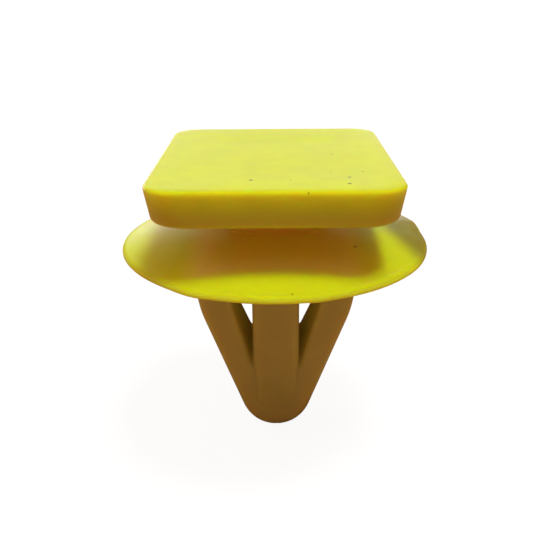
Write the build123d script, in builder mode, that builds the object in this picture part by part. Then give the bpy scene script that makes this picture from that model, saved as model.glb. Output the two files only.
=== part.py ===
# A trim clip for a vehicle's inner panels: one moulding of stiff springy plastic.
# The plate at the top slides into a slotted boss on the back of the panel, the round flange
# closes the hole in the sheet metal, and the barbed anchor below is pushed through that hole.
#
# Millimetres, +Z up to the head, -Y the front. The origin is on the stem's axis, in the plane of
# the flange's lower edge, which is where the clip meets the sheet metal.

import os
from math import acos, atan2, degrees, hypot, radians, tan

from build123d import *

# Head plate
head_width = 17.2
head_length = 19.8
head_thickness = 2.55
head_top_height = 6.84
head_draft = 4.0
head_top_corner = 1.5
head_bottom_corner = 2.5
head_top_edge = 0.12
head_bottom_edge = 0.2

# Neck between the head and the flange
neck_width = 6.6
neck_corner = 1.2
neck_fillet = 0.3

# Flange, a shallow umbrella with a thin lip
flange_diameter = 24.0
flange_crown = 1.85
flange_crown_radius = 3.2
flange_root_thickness = 0.9
flange_bow = 0.18
flange_lip_height = 0.3
flange_lip_bevel = 0.45
flange_lip_width = 0.3

# Anchor: a pillar with a spring wing on each side, joined at a rounded nose
anchor_length = 17.1
anchor_width = 13.05
nose_radius = 3.15
side_bend = 9.0
side_top_depth = 3.2
side_height = 0.2
wing_top_depth = 2.0
wing_ramp_angle = 38.0
wing_depth = 4.1
wing_edge = 0.3

# Slots that part the wings from the pillar
pillar_width = 3.8
pillar_depth = 4.9
pillar_edge = 0.35
slot_foot_depth = 10.7
slot_foot_width = 0.15
slot_angle = 14.7
pillar_taper_top = 9.5
pillar_taper_foot = 14.5

head_underside = head_top_height - head_thickness
flange_underside = flange_crown - flange_root_thickness
flange_radius = flange_diameter / 2
anchor_radius = anchor_width / 2


def bullet(upper_outline):
    """The anchor's turned body: nose, flank and bend, closed by the outline given."""
    nose_centre = (0, nose_radius - anchor_length)
    bend_centre = (anchor_radius - side_bend, -side_top_depth - side_height)
    across, rise = bend_centre[0], bend_centre[1] - nose_centre[1]
    # The flank is the straight line that touches the nose's circle and the bend's
    lean = degrees(
        acos((nose_radius - side_bend) / hypot(across, rise)) - atan2(rise, across)
    )
    with BuildPart() as turned:
        with BuildSketch(Plane.XZ):
            with BuildLine():
                nose = CenterArc(nose_centre, nose_radius, -90, 90 - lean)
                bend = CenterArc(bend_centre, side_bend, -lean, lean)
                Line(nose @ 1, bend @ 0)
                Polyline(bend @ 1, *upper_outline, nose @ 0)
            make_face()
        revolve(axis=Axis.Z)
    return turned.part


# Head: the side walls lean in towards the underside, and the corners open out with them
with BuildPart() as head:
    levels = [
        (0, head_bottom_edge),
        (head_bottom_edge, 0),
        (head_thickness - head_top_edge, 0),
        (head_thickness, head_top_edge),
    ]
    for height, edge_break in levels:
        inset = (head_thickness - height) * tan(radians(head_draft)) + edge_break
        corner_growth = (head_top_corner - head_bottom_corner) * height / head_thickness
        with BuildSketch(Plane.XY.offset(head_underside + height)):
            RectangleRounded(
                head_width - 2 * inset,
                head_length - 2 * inset,
                head_bottom_corner + corner_growth - edge_break,
            )
    loft(ruled=True)

# Flange: half of its section, turned round the stem's axis
with BuildPart() as flange:
    with BuildSketch(Plane.XZ):
        with BuildLine():
            lip_top = (flange_radius - flange_lip_bevel, flange_lip_height)
            lip_inside = (flange_radius - flange_lip_width, 0)
            crown = Line((0, flange_crown), (flange_crown_radius, flange_crown))
            SagittaArc(crown @ 1, lip_top, flange_bow)
            Polyline(lip_top, (flange_radius, 0), lip_inside)
            ceiling = Line((flange_crown_radius, flange_underside), (0, flange_underside))
            SagittaArc(lip_inside, ceiling @ 0, -flange_bow)
            Line(ceiling @ 1, crown @ 0)
        make_face()
    revolve(axis=Axis.Z)

# Wings: the turned body between flat faces front and back, with a slot on each side of the pillar
with BuildPart() as wings:
    ramp_width = (side_top_depth - wing_top_depth) * tan(radians(wing_ramp_angle))
    add(
        bullet(
            [
                (anchor_radius, -side_top_depth),
                (anchor_radius - ramp_width, -wing_top_depth),
                (0, -wing_top_depth),
            ]
        )
    )
    with BuildSketch(Plane.XY.offset(-anchor_length)):
        Rectangle(anchor_width, wing_depth)
    extrude(amount=anchor_length, mode=Mode.INTERSECT)
    with BuildSketch(Plane.XZ):
        with BuildLine():
            slot_height = slot_foot_depth - wing_top_depth
            slot_side = pillar_width / 2
            slot_mouth = slot_foot_width + slot_height * tan(radians(slot_angle))
            Polyline(
                (slot_side, -wing_top_depth),
                (slot_side, -slot_foot_depth),
                (slot_side + slot_foot_width, -slot_foot_depth),
                (slot_side + slot_mouth, -wing_top_depth),
                close=True,
            )
        make_face()
        mirror(about=Plane.YZ)
    extrude(amount=wing_depth, both=True, mode=Mode.SUBTRACT)
    flat_faces = wings.faces().filter_by(Axis.Y)
    fillet(flat_faces.edges().filter_by(GeomType.LINE), wing_edge)

# Pillar: stands a little proud of the wings and runs out into the nose
with BuildPart() as pillar:
    with BuildSketch(Plane.YZ):
        with BuildLine():
            side = Polyline(
                (0, flange_underside),
                (pillar_depth / 2, flange_underside),
                (pillar_depth / 2, -pillar_taper_top),
                (wing_depth / 2, -pillar_taper_foot),
                (wing_depth / 2, -anchor_length),
                (0, -anchor_length),
            )
            mirror(side, about=Plane.YZ)
        make_face()
    extrude(amount=pillar_width / 2, both=True)
    side_faces = pillar.faces().filter_by(Axis.X)
    fillet(side_faces.edges().filter_by(Axis.Y, reverse=True), pillar_edge)
    add(
        bullet([(anchor_radius, flange_underside), (0, flange_underside)]),
        mode=Mode.INTERSECT,
    )

# The whole moulding
with BuildPart() as trim_clip:
    add(head.part)
    with BuildSketch(Plane.XY.offset(flange_underside)):
        RectangleRounded(neck_width, neck_width, neck_corner)
    extrude(amount=head_underside - flange_underside)
    neck_roots = trim_clip.edges().filter_by_position(Axis.Z, head_underside, head_underside)
    # The nearest eight are the neck's four sides and four corners
    fillet(neck_roots.sort_by_distance((0, 0, head_underside))[:8], neck_fillet)
    add([flange.part, wings.part, pillar.part])

trim_clip.part.label = "trim_clip"
os.makedirs("parts", exist_ok=True)
export_step(trim_clip.part, "parts/trim_clip.step")
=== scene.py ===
# A yellow nylon trim clip: head plate, neck, thin round flange and a slotted anchor, one moulding.
# Shapes are worked out in millimetres on numpy grids and written to the meshes in metres.

from math import acos, atan2, cos, hypot, pi, radians, sin, tan

import bpy
import numpy as np
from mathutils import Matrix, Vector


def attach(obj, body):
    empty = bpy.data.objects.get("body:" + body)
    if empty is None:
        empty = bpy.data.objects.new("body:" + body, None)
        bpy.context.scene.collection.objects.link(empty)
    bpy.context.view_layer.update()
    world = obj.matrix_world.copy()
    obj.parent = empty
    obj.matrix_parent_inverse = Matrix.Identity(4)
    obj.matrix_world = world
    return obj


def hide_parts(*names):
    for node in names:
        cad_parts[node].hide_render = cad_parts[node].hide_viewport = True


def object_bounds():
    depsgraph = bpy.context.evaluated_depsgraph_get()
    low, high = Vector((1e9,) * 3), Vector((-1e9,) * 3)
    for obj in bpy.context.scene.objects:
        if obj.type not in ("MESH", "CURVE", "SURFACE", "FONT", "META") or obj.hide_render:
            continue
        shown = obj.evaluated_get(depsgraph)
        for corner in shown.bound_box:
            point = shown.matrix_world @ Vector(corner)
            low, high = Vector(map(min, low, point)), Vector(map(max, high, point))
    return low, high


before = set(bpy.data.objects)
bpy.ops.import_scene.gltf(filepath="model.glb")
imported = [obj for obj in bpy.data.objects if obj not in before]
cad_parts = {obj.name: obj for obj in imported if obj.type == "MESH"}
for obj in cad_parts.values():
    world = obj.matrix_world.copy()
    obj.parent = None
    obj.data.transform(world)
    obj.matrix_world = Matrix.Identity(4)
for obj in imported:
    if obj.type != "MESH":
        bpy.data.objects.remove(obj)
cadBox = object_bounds()
mm = 0.001
scene = bpy.context.scene
print("frame loaded")


# Grid tools

def roundedOutline(cornerSteps, sideSteps):
    # A rounded rectangle is c * (half - radius) + radius * d, where d is the outward direction and
    # c runs from corner to corner. Each quarter turn of d stands still along one straight side.
    turn = np.linspace(0, pi / 2, cornerSteps + 1)
    share = np.arange(1, sideSteps) / sideSteps
    corners = np.array([[1, 1], [-1, 1], [-1, -1], [1, -1]])
    quarters = []
    for k, here in enumerate(corners):
        following = corners[(k + 1) % 4]
        angles = turn + k * pi / 2
        place = np.tile(here, (cornerSteps + 1, 1))
        arc = np.column_stack([place, np.cos(angles), np.sin(angles)])
        along = here + share[:, None] * (following - here)
        side = np.column_stack([along, np.tile(arc[-1, 2:], (sideSteps - 1, 1))])
        quarters += [arc, side]
    table = np.vstack(quarters)
    return table[:, :2], table[:, 2:]


def softCorners(points, radius, steps=6):
    # Each inner corner becomes a short curve, p = (1-t)^2 a + 2t(1-t) corner + t^2 b, where a and b
    # lie on the two legs, one reach away from the corner, but short of the legs' middles.
    points = np.asarray(points, float)
    t = np.linspace(0, 1, steps + 1)[:, None]
    out = [points[:1]]
    for before, corner, after, reach in zip(points[:-2], points[1:-1], points[2:], radius[1:-1]):
        if reach == 0:
            out.append(corner[None])
            continue
        legs = [p - corner for p in (before, after)]
        a, b = [corner + leg / np.hypot(*leg) * min(reach, 0.49 * np.hypot(*leg)) for leg in legs]
        out.append((1 - t) ** 2 * a + 2 * t * (1 - t) * corner + t ** 2 * b)
    out.append(points[-1:])
    return np.vstack(out)


def evenRows(points, step):
    # The profile again, with points added so that none of its legs is longer than one step
    parts = []
    for a, b in zip(points[:-1], points[1:]):
        count = max(1, int(np.ceil(np.hypot(*(b - a)) / step)))
        parts.append(a + np.arange(count)[:, None] / count * (b - a))
    return np.vstack(parts + [points[-1:]])


def atHeights(rings, z):
    # Flat rings (levels, around, 2), each lifted to its own height
    return np.concatenate([rings, z[:, None, None] + 0 * rings[..., :1]], -1)


def closedGrid(name, rows):
    # rows is (levels, around, 3) from the lowest level up. The first and last level are single
    # points, the poles, and the rest are rings that turn anticlockwise seen from above.
    levels, around = rows.shape[:2]
    rings = rows[1:-1].reshape(-1, 3)
    verts = np.vstack([rows[0, :1], rings, rows[-1, :1]]) * mm
    last = len(verts) - 1
    j = np.arange(around)
    following = (j + 1) % around
    start = 1 + np.arange(levels - 3)[:, None] * around
    above = start + around
    quads = np.stack([start + j, start + following, above + following, above + j], -1)
    top = 1 + (levels - 3) * around
    foot = np.column_stack([np.zeros(around, int), 1 + following, 1 + j])
    cap = np.column_stack([np.full(around, last), top + j, top + following])
    faces = quads.reshape(-1, 4).tolist() + foot.tolist() + cap.tolist()
    mesh = bpy.data.meshes.new(name)
    mesh.from_pydata(verts.tolist(), [], faces)
    mesh.validate()
    piece = bpy.data.objects.new(name, mesh)
    scene.collection.objects.link(piece)
    return piece


def turned(profile, around):
    # A surface of revolution: (r, z) becomes (r cos a, r sin a, z)
    angle = np.linspace(0, 2 * pi, around, endpoint=False)
    r, z = profile[:, :1], profile[:, 1:]
    return np.stack([r * np.cos(angle), r * np.sin(angle), z + 0 * angle], -1), angle


def combine(target, tool, operation):
    # An exact boolean, applied at once
    step = target.modifiers.new(operation, "BOOLEAN")
    step.object, step.operation, step.solver = tool, operation, "EXACT"
    bpy.context.view_layer.update()
    evaluated = target.evaluated_get(bpy.context.evaluated_depsgraph_get())
    mesh = bpy.data.meshes.new_from_object(evaluated)
    target.modifiers.clear()
    target.data = mesh
    bpy.data.objects.remove(tool)


# Head plate

head = {
    "width": 17.45, "length": 19.8, "thickness": 2.55, "topHeight": 6.84, "sideDraft": 6.5,
    "frontDraft": 4.0, "topCorner": 2.1, "bottomCorner": 2.6, "topEdge": 0.26, "bottomEdge": 0.28,
    "sink": 0.05, "sinkReach": 0.5, "steps": (10, 30), "faceSteps": 13,
}


def headPlate():
    # Each level is a rounded rectangle. The sides lean in by their draft towards the underside, the
    # edges are quarter circles taken off the half widths, and the two faces are shrunken rings.
    # The top sinks by sink * min(1, p / sinkReach)^2, p being the share of the way to the middle.
    c, d = roundedOutline(*head["steps"])
    top, low = head["topHeight"], head["topHeight"] - head["thickness"]
    q = np.linspace(0, pi / 2, 8)
    e, f = head["bottomEdge"], head["topEdge"]
    wall = np.linspace(low + e, top - f, 9)[1:-1]
    z = np.concatenate([low + e * (1 - np.cos(q)), wall, top - f + f * np.sin(q)])
    cut = np.concatenate([e * (1 - np.sin(q)), 0 * wall, f * (1 - np.cos(q))])
    drafts = np.tan(np.radians([head["sideDraft"], head["frontDraft"]]))
    inset = (top - z)[:, None] * drafts + cut[:, None]
    share = (z - low) / head["thickness"]
    radius = head["bottomCorner"] + (head["topCorner"] - head["bottomCorner"]) * share - cut
    half = np.array([head["width"] / 2, head["length"] / 2])
    side = c * (half - inset - radius[:, None])[:, None, :] + radius[:, None, None] * d
    side = atHeights(side, z)
    shrink = np.linspace(1, 0, head["faceSteps"] + 1)[1:, None, None]
    cap = side[-1] * [1, 1, 0] * shrink
    inward = 1 - np.abs(cap[..., :2] / half).max(-1)
    cap[..., 2] = top - head["sink"] * np.clip(inward / head["sinkReach"], 0, 1) ** 2
    under = side[0] * [1, 1, 0] * shrink[::-1]
    under[..., 2] = low
    return closedGrid("head", np.vstack([under, side, cap]))


# Neck

neck = {
    "width": 6.6, "corner": 1.2, "cove": 0.3, "overlap": 0.01, "buried": 0.45, "steps": (8, 10),
}


def neckPost(foot, underside):
    # A rounded square whose half width grows by a quarter circle of the cove's radius at each end
    c, d = roundedOutline(*neck["steps"])
    q = np.linspace(0, pi / 2, 7)
    cove = neck["cove"]
    rise, spread = cove * (1 - np.cos(q)), cove * (1 - np.sin(q))
    bottom, top = foot - neck["overlap"], underside + neck["overlap"]
    z = np.concatenate([[bottom - neck["buried"]] * 2, bottom + rise, top - rise[::-1],
                        [top + neck["buried"]] * 2])
    flare = np.concatenate([[0, cove], spread, spread[::-1], [cove, 0]])
    half = neck["width"] / 2 + flare
    radius = neck["corner"] + flare
    rings = atHeights(c * (half - radius)[:, None, None] + radius[:, None, None] * d, z)
    rings[[0, -1], :, :2] = 0
    return closedGrid("neck", rings)


# Flange: a wave is (angle, width, height) and a ripple is (count, start, size)

flange = {
    "diameter": 24.0, "crown": 1.85, "crownRadius": 3.2, "rootThickness": 0.9, "bow": 0.18,
    "lipHeight": 0.3, "lipBevel": 0.45, "lipWidth": 0.3, "lipBulge": (0.16, 0.78),
    "lipRounding": (0, 0.1, 0.08, 0.12, 0.15, 0),
    "waves": [(-118, 7, -0.115), (150, 30, -0.17), (-78, 5, -0.05), (-81, 3, 0.04)],
    "waveReach": 3, "foldAngle": 20.6, "foldStart": 8.6, "foldSlope": 0.03, "foldSoftness": 0.25,
    "kinkAngles": (0, 14, 27, 60), "kinkLift": (0, 0.10, -0.04, 0),
    "pullAngles": (-32, -8, 3, 14), "pull": (0, 0.12, 0.23, 0), "kinkReach": 5,
    "bead": 0.05, "beadAt": 11.5, "beadWidth": 0.13, "beadBack": 0.2,
    "ripples": [(7, 1, 0.5), (23, 0, 0.5), (61, 0, 0.4)], "around": 288, "rowCount": 26,
}


def bowed(a, b, sagitta, count):
    # From a to b, pushed sideways by 4 t (1 - t) times the sagitta
    a, b = np.array(a), np.array(b)
    t = np.linspace(0, 1, count)[:, None]
    across = np.array([-(b - a)[1], (b - a)[0]]) / np.hypot(*(b - a))
    return a + t * (b - a) + 4 * t * (1 - t) * sagitta * across


def flangeDisc():
    # A turned section, from the ceiling's middle out to the lip and back up to the crown.
    # Each wave lifts the rim by height * exp(-(angle / width)^2) * (r / R)^waveReach.
    # Past the fold line, p being the way beyond it, the disc is bent up by
    # foldSlope * softness * log(1 + exp(p / softness)).
    # The kink lifts the rim and pulls it in, along straight lines between its angles, by amounts
    # that go with (r / R)^kinkReach.
    # The bead is a ridge, height * exp(-((r - at) / width)^2), made uneven by the ripples' sines.
    # It fades to the share beadBack at the back.
    radius = flange["diameter"] / 2
    underside = flange["crown"] - flange["rootThickness"]
    lipTop = (radius - flange["lipBevel"], flange["lipHeight"])
    lipInside = (radius - flange["lipWidth"], 0)
    bow, count = flange["bow"], flange["rowCount"]
    inner = bowed((flange["crownRadius"], underside), lipInside, bow, count)
    outer = bowed(lipTop, (flange["crownRadius"], flange["crown"]), -bow, count)
    inwards, upwards = flange["lipBulge"]
    bulge = (radius - inwards * flange["lipBevel"], upwards * flange["lipHeight"])
    corners = [inner[-2], lipInside, (radius, 0), bulge, lipTop, outer[1]]
    flat = np.linspace(0, flange["crownRadius"], 8)[:-1]
    profile = np.vstack([
        np.column_stack([flat, 0 * flat + underside]), inner[:-2],
        softCorners(corners, flange["lipRounding"]), outer[2:],
        np.column_stack([flat[::-1], 0 * flat + flange["crown"]]),
    ])
    rows, angle = turned(profile, flange["around"])
    degrees = (np.degrees(angle) + 180) % 360 - 180
    r = profile[:, :1]

    lift = np.zeros_like(angle)
    for at, width, height in flange["waves"]:
        away = (degrees - at + 180) % 360 - 180
        lift += height * np.exp(-(away / width) ** 2)
    turn, soft = radians(flange["foldAngle"]), flange["foldSoftness"]
    beyond = rows[..., 0] * cos(turn) + rows[..., 1] * sin(turn) - flange["foldStart"]
    rows[..., 2] += lift * (r / radius) ** flange["waveReach"]
    rows[..., 2] += flange["foldSlope"] * soft * np.logaddexp(0, beyond / soft)

    near = (r / radius) ** flange["kinkReach"]
    rows[..., 2] += near * np.interp(degrees, flange["kinkAngles"], flange["kinkLift"])
    pull = np.interp(degrees, flange["pullAngles"], flange["pull"])
    rows[..., :2] *= 1 - (near * pull / radius)[..., None]

    ripples = [size * np.sin(times * angle + start) for times, start, size in flange["ripples"]]
    back = flange["beadBack"]
    uneven = (1 + sum(ripples)) * (back + (1 - back) * np.clip(-np.sin(angle), 0, 1))
    ridge = flange["bead"] * np.exp(-((r - flange["beadAt"]) / flange["beadWidth"]) ** 2)
    upper = np.arange(len(profile))[:, None] > len(profile) / 2
    rows[..., 2] += ridge * uneven * upper
    return closedGrid("flange", rows)


# Anchor

anchor = {
    "length": 17.1, "width": 13.05, "noseRadius": 3.15, "sideBend": 9.0, "sideTop": -3.2,
    "sideHeight": 0.2, "wingTop": -2.0, "rampAngle": 38.0, "rampRounding": (0, 0.4, 0.3, 0),
    "wingDepth": 4.1, "edge": 0.34, "edgeShare": 0.45, "tipDepth": 0.985, "tipPower": 12,
    "gridStep": 0.45, "pillarWidth": 3.8, "pillarDepth": 4.9, "pillarEdge": 0.6,
    "pillarFoot": -15.2, "pillarBuried": 0.3, "taperTop": -9.5, "taperFoot": -14.5,
    "slotFoot": -10.7, "slotFootWidth": 0.15, "slotFootRounding": 0.18, "slotAngle": 14.7,
    "slotMiddleFoot": -7.6, "slotMiddleAngle": 24.0, "slotSink": 0.4, "slotOver": 1,
    "slotSpare": 0.01, "wingSteps": (8, 22), "pillarSteps": (7, 6),
}


def wingBody():
    # The level at height z is a slab cut from a disc of radius r(z): a rounded rectangle whose x
    # is multiplied by sqrt(1 - (y / r)^2). r(z) follows the nose's circle, the line that touches it
    # and the bend's circle, that circle, a short upright side and the ramp. The half depth is the
    # soft minimum (a^-n + b^-n)^(-1/n) of a = tipDepth * r and b = its flat half, n = tipPower.
    noseR, bendR, half = anchor["noseRadius"], anchor["sideBend"], anchor["width"] / 2
    noseZ, bendZ = noseR - anchor["length"], anchor["sideTop"] - anchor["sideHeight"]
    across, rise = half - bendR, bendZ - noseZ
    lean = acos((noseR - bendR) / hypot(across, rise)) - atan2(rise, across)
    swing = np.linspace(-pi / 2, -lean, 18)
    nose = np.column_stack([noseR * np.cos(swing), noseZ + noseR * np.sin(swing)])
    swing = np.linspace(-lean, 0, 12)
    bend = np.column_stack([half - bendR + bendR * np.cos(swing), bendZ + bendR * np.sin(swing)])
    ramp = (anchor["wingTop"] - anchor["sideTop"]) * tan(radians(anchor["rampAngle"]))
    upper = softCorners([bend[-1], (half, anchor["sideTop"]), (half - ramp, anchor["wingTop"]),
                         (0, anchor["wingTop"])], anchor["rampRounding"])
    step = anchor["gridStep"]
    flank = evenRows(np.array([nose[-1], bend[0]]), step)
    profile = np.vstack([nose[:-1], flank[:-1], bend[:-1], evenRows(upper, step)])
    r, z = profile.T
    safe = np.maximum(r, 1e-6)
    power, flat = anchor["tipPower"], anchor["wingDepth"] / 2
    depth = ((anchor["tipDepth"] * safe) ** -power + flat ** -power) ** (-1 / power)
    edge = np.minimum(anchor["edge"], anchor["edgeShare"] * depth)
    c, d = roundedOutline(*anchor["wingSteps"])
    halves = np.column_stack([r, depth])[:, None, :]
    rings = c * (halves - edge[:, None, None]) + edge[:, None, None] * d
    rings[..., 0] *= np.sqrt(np.clip(1 - (rings[..., 1] / safe[:, None]) ** 2, 0, 1))
    rings = atHeights(rings, z)
    rings[[0, -1], :, :2] = 0
    return closedGrid("wings", rings)


def slotTool(side):
    # A wedge that runs through front to back, blended from a narrow section in the middle to the
    # full one at the flat faces: section = middle + |y| / flat * (full - middle). Near those faces
    # it grows by e - sqrt(e^2 - t^2), t being the way past their rounded edge, for soft edges.
    e, over = anchor["edge"], anchor["slotOver"]
    flat = anchor["wingDepth"] / 2 + anchor["slotSpare"]
    t = e * np.sin(np.linspace(0, pi / 2, 8))
    inside = np.linspace(0, flat - e, 6)[:-1]
    y = np.concatenate([inside, flat - e + t, [flat + over]])
    grow = np.concatenate([0 * inside, e - np.sqrt(e ** 2 - t ** 2), [e]])
    y = np.concatenate([-y[:0:-1], y])
    grow = np.concatenate([grow[:0:-1], grow])
    pillarSide, top = anchor["pillarWidth"] / 2, anchor["wingTop"] + over
    inner, outer = pillarSide - anchor["slotSink"], pillarSide + anchor["slotFootWidth"]
    rounding = anchor["slotFootRounding"]
    sections = []
    for foot, angle in (("slotMiddleFoot", "slotMiddleAngle"), ("slotFoot", "slotAngle")):
        low, lean = anchor[foot], radians(anchor[angle])
        mouth = outer + (top - low) * tan(lean)
        section = softCorners([(inner, top), (inner, low), (outer, low), (mouth, top)],
                              (0, 0, rounding, 0))
        push = np.column_stack([np.where(section[:, 0] > inner, 1 / cos(lean), 0),
                                np.where(section[:, 1] <= low + rounding, -1, 0)])
        sections.append((section, push))
    share = np.clip(np.abs(y) / flat, 0, 1)[:, None, None]
    (middle, _), (full, push) = sections
    ring = middle + share * (full - middle) + grow[:, None, None] * push
    ys = np.broadcast_to(y[:, None], ring.shape[:2])
    rings = np.stack([side * ring[..., 0], ys, ring[..., 1]], -1)
    if side > 0:     # on the other side the mirroring turns the rings round
        rings = rings[:, ::-1]
    centre = rings.mean(1, keepdims=True)
    ends = [np.broadcast_to(centre[k], rings[0].shape)[None] for k in (0, -1)]
    return closedGrid("slot", np.concatenate([ends[0], rings, ends[1]]))


def pillarPost(top):
    # A rounded bar whose half depth tapers in a straight line from taperTop, to end inside the nose
    c, d = roundedOutline(*anchor["pillarSteps"])
    foot = anchor["pillarFoot"]
    z = np.concatenate([[foot] * 2, np.linspace(foot, anchor["taperTop"], 16)[1:],
                        np.linspace(anchor["taperTop"], top, 16)[1:], [top]])
    half, flat = anchor["pillarDepth"] / 2, anchor["wingDepth"] / 2
    lean = (half - flat) / (anchor["taperTop"] - anchor["taperFoot"])
    depth = half - np.clip(anchor["taperTop"] - z, 0, None) * lean
    halves = np.column_stack([np.full_like(z, anchor["pillarWidth"] / 2), depth])[:, None, :]
    edge = anchor["pillarEdge"]
    rings = atHeights(c * (halves - edge) + edge * d, z)
    rings[[0, -1], :, :2] = 0
    return closedGrid("pillar", rings)


# The whole moulding, with edges sharper than this angle in degrees kept crisp

sharpAngle = 38

clip = headPlate()
combine(clip, neckPost(flange["crown"], head["topHeight"] - head["thickness"]), "UNION")
combine(clip, flangeDisc(), "UNION")
body = wingBody()
for way in (1, -1):
    combine(body, slotTool(way), "DIFFERENCE")
combine(body, pillarPost(flange["crown"] - anchor["pillarBuried"]), "UNION")
combine(clip, body, "UNION")
clip.name = "clipMoulding"
clip.data.name = "clipMoulding"
clip.data.shade_smooth()
clip.data.set_sharp_from_angle(angle=radians(sharpAngle))
print("moulding joined:", len(clip.data.vertices), "vertices")


# Nylon: each fade is where a tint starts and where it is full, in mm along its own direction

nylon = {
    "colour": (0.64, 0.79, 0.010),
    # painted shade, browner down the anchor under the flange
    "anchorShadeColour": (0.56, 0.59, 0.20), "anchorShadeFade": (-0.5, -3.0),
    "mottleSize": 0.5, "mottleRange": (0.35, 0.65), "mottleShade": (0.94, 1),
    # painted shade down the head's sides and, below, round the neck under the head
    "sideShadeColour": (0.55, 0.56, 0.03), "sideShadeFade": (6.1, 4.6), "onHead": (4.1, 4.3),
    "rootShadeColour": (0.90, 0.76, 0.22), "rootShadeWide": (6.9, 4.7), "rootShadeDeep": (9.4, 8.0),
    "belowHead": (4.3, 4.1), "aboveAnchor": (-0.5, 0),
    # painted shade beyond the flange's fold and along the lip
    "rimShadeColour": (0.200, 0.225, 0.02), "rimShadeFade": (6.6, 9.2), "rimShadeAmount": 0.96,
    "lipShadeColour": (0.49, 0.57, 0.02), "lipFade": (11.6, 11.9), "lipRoughness": 0.4,
    "onFlange": (3.0, 2.6),
    "roughness": (0.30, 0.40),
    "scatter": 0.9, "scatterRadius": (1.0, 0.45, 0.05), "scatterScale": 2.6,
    "grainSize": 9.0, "grainHeight": 0.004, "swellSize": 0.35, "swellHeight": 0.03,
    "speckColour": (0.035, 0.028, 0.008), "speckFade": (1.1, 0.45),
    "specks": [      # x, y, z, radius in mm and strength
        (-1.60, -7.07, 6.84, 0.17, 0.9), (4.87, -8.04, 6.84, 0.17, 0.9),
        (2.11, -9.88, 6.76, 0.11, 0.6), (3.86, -5.20, 6.84, 0.12, 0.45),
        (6.10, -4.94, 6.84, 0.12, 0.45), (4.39, 0.29, 6.84, 0.16, 0.4),
        (5.03, -6.44, 6.84, 0.17, 0.7), (1.06, -7.09, 6.84, 0.12, 0.35),
        (5.81, -4.97, 1.25, 0.17, 0.6), (1.08, -11.22, 0.34, 0.14, 0.5),
    ],
}


def newGroup(name, inputs, outputs):
    # A node group from its lists of (name, socket kind)
    tree = bpy.data.node_groups.new(name, "ShaderNodeTree")
    for way, sockets in (("INPUT", inputs), ("OUTPUT", outputs)):
        for socket, kind in sockets:
            tree.interface.new_socket(name=socket, in_out=way, socket_type=kind)
    return tree, tree.nodes.new("NodeGroupInput"), tree.nodes.new("NodeGroupOutput")


def remap(tree, source, given, wanted=(0, 1), kind="LINEAR"):
    # A map from the given range to the wanted one
    node = tree.nodes.new("ShaderNodeMapRange")
    node.interpolation_type = kind
    for end, value in zip(("From Min", "From Max", "To Min", "To Max"), (*given, *wanted)):
        node.inputs[end].default_value = value
    tree.links.new(source, node.inputs["Value"])
    return node.outputs["Result"]


def ramp(tree, source, start, end):
    # A smooth step, 0 at the start and 1 at the end
    return remap(tree, source, (start, end), kind="SMOOTHSTEP")


def maths(tree, operation, *values):
    # A maths node on sockets and plain numbers
    node = tree.nodes.new("ShaderNodeMath")
    node.operation = operation
    for slot, value in zip(node.inputs, values):
        if isinstance(value, (int, float)):
            slot.default_value = value
        else:
            tree.links.new(value, slot)
    return node.outputs[0]


def product(tree, first, *others):
    # All the masks multiplied together
    for other in others:
        first = maths(tree, "MULTIPLY", first, other)
    return first


def vectors(tree, operation, *values):
    # A vector maths node on sockets and plain vectors
    node = tree.nodes.new("ShaderNodeVectorMath")
    node.operation = operation
    for slot, value in zip(node.inputs, values):
        if isinstance(value, tuple):
            slot.default_value = value
        else:
            tree.links.new(value, slot)
    return node


def speckGroup():
    # Mask of one small round spot, which fades out with the way from its centre in radii
    tree, given, result = newGroup("speckMask", [
        ("Place", "NodeSocketVector"), ("Centre", "NodeSocketVector"),
        ("Radius", "NodeSocketFloat"), ("Strength", "NodeSocketFloat"),
    ], [("Mask", "NodeSocketFloat")])
    away = vectors(tree, "DISTANCE", given.outputs["Place"], given.outputs["Centre"])
    radii = maths(tree, "DIVIDE", away.outputs["Value"], given.outputs["Radius"])
    inside = ramp(tree, radii, *nylon["speckFade"])
    mask = product(tree, inside, given.outputs["Strength"])
    tree.links.new(mask, result.inputs["Mask"])
    return tree


def blend(tree, first, second, factor):
    # first and second are sockets or colours, factor is a socket
    node = tree.nodes.new("ShaderNodeMix")
    node.data_type = "RGBA"
    for name, value in (("A", first), ("B", second)):
        if isinstance(value, tuple):
            node.inputs[name].default_value = (*value, 1)
        else:
            tree.links.new(value, node.inputs[name])
    tree.links.new(factor, node.inputs["Factor"])
    return node.outputs["Result"]


def noise(tree, place, scale, detail):
    # scale is in waves per mm
    node = tree.nodes.new("ShaderNodeTexNoise")
    node.inputs["Scale"].default_value = scale / mm
    node.inputs["Detail"].default_value = detail
    tree.links.new(place, node.inputs["Vector"])
    return node.outputs["Fac"]


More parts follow.
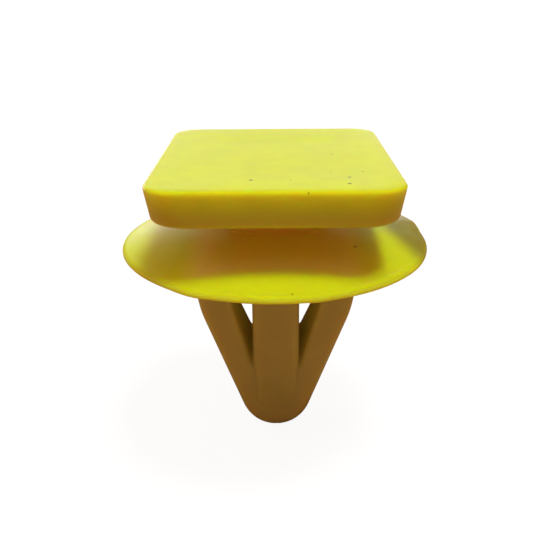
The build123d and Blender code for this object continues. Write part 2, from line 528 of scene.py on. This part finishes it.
def nylonMaterial():
    material = bpy.data.materials.new("yellowNylon")
    material.use_nodes = True
    tree = material.node_tree
    shader = tree.nodes["Principled BSDF"]
    place = tree.nodes.new("ShaderNodeTexCoord").outputs["Object"]
    split = tree.nodes.new("ShaderNodeSeparateXYZ")
    tree.links.new(place, split.inputs[0])
    x, y, height = split.outputs

    def fade(source, name):
        return ramp(tree, source, *[end * mm for end in nylon[name]])

    # Painted shade turns the moulding browner down the anchor, under the flange; it is also faintly
    # mottled all over
    colour = blend(tree, nylon["colour"], nylon["anchorShadeColour"], fade(height, "anchorShadeFade"))
    mottle = noise(tree, place, nylon["mottleSize"], 4)
    shade = vectors(tree, "SCALE", colour)
    amount = remap(tree, mottle, nylon["mottleRange"], nylon["mottleShade"])
    tree.links.new(amount, shade.inputs["Scale"])

    # Painted shade: browner down the head's sides, and round the neck where the head keeps the
    # light off
    side = product(tree, fade(height, "sideShadeFade"), fade(height, "onHead"))
    colour = blend(tree, shade.outputs["Vector"], nylon["sideShadeColour"], side)
    wide, deep = [fade(maths(tree, "ABSOLUTE", source), name)
                  for source, name in ((x, "rootShadeWide"), (y, "rootShadeDeep"))]
    root = product(tree, wide, deep, fade(height, "belowHead"), fade(height, "aboveAnchor"))
    colour = blend(tree, colour, nylon["rootShadeColour"], root)

    # Painted shade: darker and duller along the lip, and beyond the fold in the flange's rim
    onFlange = fade(height, "onFlange")
    flat = vectors(tree, "MULTIPLY", place, (1, 1, 0))
    reach = vectors(tree, "LENGTH", flat.outputs["Vector"])
    lip = product(tree, fade(reach.outputs["Value"], "lipFade"), onFlange)
    colour = blend(tree, colour, nylon["lipShadeColour"], lip)
    turn = radians(flange["foldAngle"])
    along = maths(tree, "ADD", maths(tree, "MULTIPLY", x, cos(turn)),
                  maths(tree, "MULTIPLY", y, sin(turn)))
    rim = product(tree, fade(along, "rimShadeFade"), onFlange, nylon["rimShadeAmount"])
    colour = blend(tree, colour, nylon["rimShadeColour"], rim)

    speck = speckGroup()
    masks = []
    for *centre, radius, strength in nylon["specks"]:
        spot = tree.nodes.new("ShaderNodeGroup")
        spot.node_tree = speck
        spot.inputs["Centre"].default_value = [c * mm for c in centre]
        spot.inputs["Radius"].default_value = radius * mm
        spot.inputs["Strength"].default_value = strength
        tree.links.new(place, spot.inputs["Place"])
        masks.append(spot.outputs["Mask"])
    spots = masks[0]
    for mask in masks[1:]:
        spots = maths(tree, "MAXIMUM", spots, mask)
    colour = blend(tree, colour, nylon["speckColour"], spots)
    tree.links.new(colour, shader.inputs["Base Color"])

    # A slow swell and a fine grain
    normal = None
    for kind, detail in (("swell", 1), ("grain", 3)):
        bump = tree.nodes.new("ShaderNodeBump")
        bump.inputs["Distance"].default_value = nylon[kind + "Height"] * mm
        tree.links.new(noise(tree, place, nylon[kind + "Size"], detail), bump.inputs["Height"])
        if normal is not None:
            tree.links.new(normal, bump.inputs["Normal"])
        normal = bump.outputs["Normal"]
    tree.links.new(normal, shader.inputs["Normal"])
    rough = remap(tree, mottle, (0, 1), nylon["roughness"])
    rough = maths(tree, "MULTIPLY_ADD", lip, nylon["lipRoughness"], rough)
    tree.links.new(rough, shader.inputs["Roughness"])

    shader.inputs["Subsurface Weight"].default_value = nylon["scatter"]
    shader.inputs["Subsurface Radius"].default_value = nylon["scatterRadius"]
    shader.inputs["Subsurface Scale"].default_value = nylon["scatterScale"] * mm
    return material


clip.data.materials.clear()
clip.data.materials.append(nylonMaterial())
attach(clip, "root")
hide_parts("trim_clip")
print("nylon on")


# Floor and light. The ranges of the gloss values are directions, from -1 to 1.

studio = {
    "floorWidth": 3.0, "floorDepth": 3.4, "floorGap": 0.02,
    "bounce": (0.36, 0.22, 0.12), "floorRoughness": 0.9, "paper": 0.10, "paperGlow": 0.93,
    "ambient": (0.30, 0.105, 0.04), "dome": 0.4, "domeRange": (0.5, 0.9),
    "glossHeight": (0.37, 0.06), "glossDepth": (0, 0.5), "glossBack": 1.75, "glossSides": 10,
    "glossFront": 0.04, "glossRightStart": 0.18, "glossRightDrop": 1.45,
    "glossLeftStart": 0.15, "glossLeftDrop": 0.3, "glossLeft": 0.1, "glossLeftRange": (-0.2, -0.8),
    "sunTilt": (7, 11), "sunStrength": 2.25, "sunAngle": 18, "sunColour": (1, 1, 1),
    "fillTilt": (-12, -50), "fillStrength": 0.44, "fillAngle": 30, "fillColour": (1, 0.72, 0.5),
}


def studioFloor():
    # A flat sheet just under the nose, its grid z = constant. The camera sees white paper with a
    # faint shadow, and the clip gets the warm light that a table throws back.
    x = np.linspace(-0.5, 0.5, 5) * studio["floorWidth"]
    y = np.linspace(-0.5, 0.5, 5) * studio["floorDepth"]
    gx, gy = np.meshgrid(x, y)
    z = 0 * gx + cadBox[0][2] - studio["floorGap"] * mm
    verts = np.stack([gx, gy, z], -1).reshape(-1, 3)
    k = (np.arange(4)[:, None] * 5 + np.arange(4)).ravel()
    mesh = bpy.data.meshes.new("floor")
    mesh.from_pydata(verts.tolist(), [], np.column_stack([k, k + 1, k + 6, k + 5]).tolist())
    floor = bpy.data.objects.new("floor", mesh)
    scene.collection.objects.link(floor)
    material = bpy.data.materials.new("whitePaper")
    material.use_nodes = True
    nodes, links = material.node_tree.nodes, material.node_tree.links
    shader = nodes["Principled BSDF"]
    shader.inputs["Base Color"].default_value = (*studio["bounce"], 1)
    shader.inputs["Roughness"].default_value = studio["floorRoughness"]
    shader.inputs["Specular IOR Level"].default_value = 0
    path = nodes.new("ShaderNodeLightPath")
    paper = nodes.new("ShaderNodeBsdfDiffuse")
    paper.inputs["Color"].default_value = (*[studio["paper"]] * 3, 1)
    glow = nodes.new("ShaderNodeEmission")
    glow.inputs["Strength"].default_value = studio["paperGlow"]
    seen = nodes.new("ShaderNodeAddShader")
    links.new(paper.outputs[0], seen.inputs[0])
    links.new(glow.outputs[0], seen.inputs[1])
    choice = nodes.new("ShaderNodeMixShader")
    links.new(path.outputs["Is Camera Ray"], choice.inputs[0])
    links.new(shader.outputs[0], choice.inputs[1])
    links.new(seen.outputs[0], choice.inputs[2])
    links.new(choice.outputs[0], nodes["Material Output"].inputs["Surface"])
    mesh.materials.append(material)


def studioLamps():
    # The key is nearly overhead, and the fill comes low from the left, a little behind
    for name in ("sun", "fill"):
        light = bpy.data.lights.new(name, "SUN")
        light.energy, light.angle = studio[name + "Strength"], radians(studio[name + "Angle"])
        light.color = studio[name + "Colour"]
        lamp = bpy.data.objects.new(name, light)
        tiltX, tiltY = studio[name + "Tilt"]
        lamp.rotation_euler = (radians(tiltX), radians(tiltY), 0)
        lamp.visible_glossy = False
        scene.collection.objects.link(lamp)


def glossStrength(tree, x, y, z):
    # A strip low down at the back, strength * (1 + sides * x^2), whose top comes down to the right
    # and, less, to the left. Elsewhere there is a faint glow in front and on the left.
    right = maths(tree, "MAXIMUM", maths(tree, "SUBTRACT", x, studio["glossRightStart"]), 0)
    left = maths(tree, "MAXIMUM", maths(tree, "SUBTRACT", -studio["glossLeftStart"], x), 0)
    raised = maths(tree, "MULTIPLY_ADD", right, studio["glossRightDrop"], z)
    raised = maths(tree, "MULTIPLY_ADD", left, studio["glossLeftDrop"], raised)
    square = maths(tree, "POWER", maths(tree, "ABSOLUTE", x), 2)
    aside = maths(tree, "MULTIPLY_ADD", square, studio["glossSides"], 1)
    strip = product(tree, ramp(tree, raised, *studio["glossHeight"]),
                    ramp(tree, y, *studio["glossDepth"]), aside, studio["glossBack"])
    glow = product(tree, ramp(tree, x, *studio["glossLeftRange"]), studio["glossLeft"])
    return maths(tree, "MAXIMUM", strip, maths(tree, "MAXIMUM", glow, studio["glossFront"]))


def studioRoom():
    # Diffuse rays get a warm room with a pale dome overhead, glossy ones the strip low down at the
    # back, and the camera plain white
    world = bpy.data.worlds.new("room")
    scene.world = world
    world.use_nodes = True
    world.cycles.sampling_method = "NONE"
    tree = world.node_tree
    split = tree.nodes.new("ShaderNodeSeparateXYZ")
    tree.links.new(tree.nodes.new("ShaderNodeTexCoord").outputs["Generated"], split.inputs[0])
    x, y, z = split.outputs
    room = tree.nodes["Background"]
    room.inputs["Color"].default_value = (*studio["ambient"], 1)
    dome, mirrored, white = [tree.nodes.new("ShaderNodeBackground") for _ in range(3)]
    for light in (dome, mirrored, white):
        light.inputs["Color"].default_value = (1, 1, 1, 1)
    high = product(tree, ramp(tree, z, *studio["domeRange"]), studio["dome"])
    tree.links.new(high, dome.inputs["Strength"])
    tree.links.new(glossStrength(tree, x, y, z), mirrored.inputs["Strength"])
    both = tree.nodes.new("ShaderNodeAddShader")
    tree.links.new(room.outputs[0], both.inputs[0])
    tree.links.new(dome.outputs[0], both.inputs[1])
    path = tree.nodes.new("ShaderNodeLightPath")
    shader = both.outputs[0]
    for kind, other in (("Is Glossy Ray", mirrored), ("Is Camera Ray", white)):
        choice = tree.nodes.new("ShaderNodeMixShader")
        tree.links.new(path.outputs[kind], choice.inputs[0])
        tree.links.new(shader, choice.inputs[1])
        tree.links.new(other.outputs[0], choice.inputs[2])
        shader = choice.outputs[0]
    tree.links.new(shader, tree.nodes["World Output"].inputs["Surface"])


# Camera

view = {
    "focalPixels": 677, "imagePixels": 550, "sensor": 36, "clipStart": 0.001, "clipEnd": 10,
    "distance": 50.85, "height": 19.07, "pitch": 23.61, "roll": -0.33, "shiftPixels": -0.5,
}


def photoCamera():
    data = bpy.data.cameras.new("camera")
    data.sensor_fit, data.sensor_width = "HORIZONTAL", view["sensor"]
    data.lens = view["focalPixels"] / view["imagePixels"] * view["sensor"]
    data.shift_x = view["shiftPixels"] / view["imagePixels"]
    data.clip_start, data.clip_end = view["clipStart"], view["clipEnd"]
    camera = bpy.data.objects.new("camera", data)
    camera.location = (0, -view["distance"] * mm, view["height"] * mm)
    camera.rotation_euler = (radians(90 - view["pitch"]), 0, 0)
    camera.rotation_euler.rotate_axis("Z", radians(view["roll"]))
    scene.collection.objects.link(camera)
    scene.camera = camera


studioFloor()
studioLamps()
studioRoom()
photoCamera()
scene.view_settings.view_transform = "Standard"
print("studio ready")
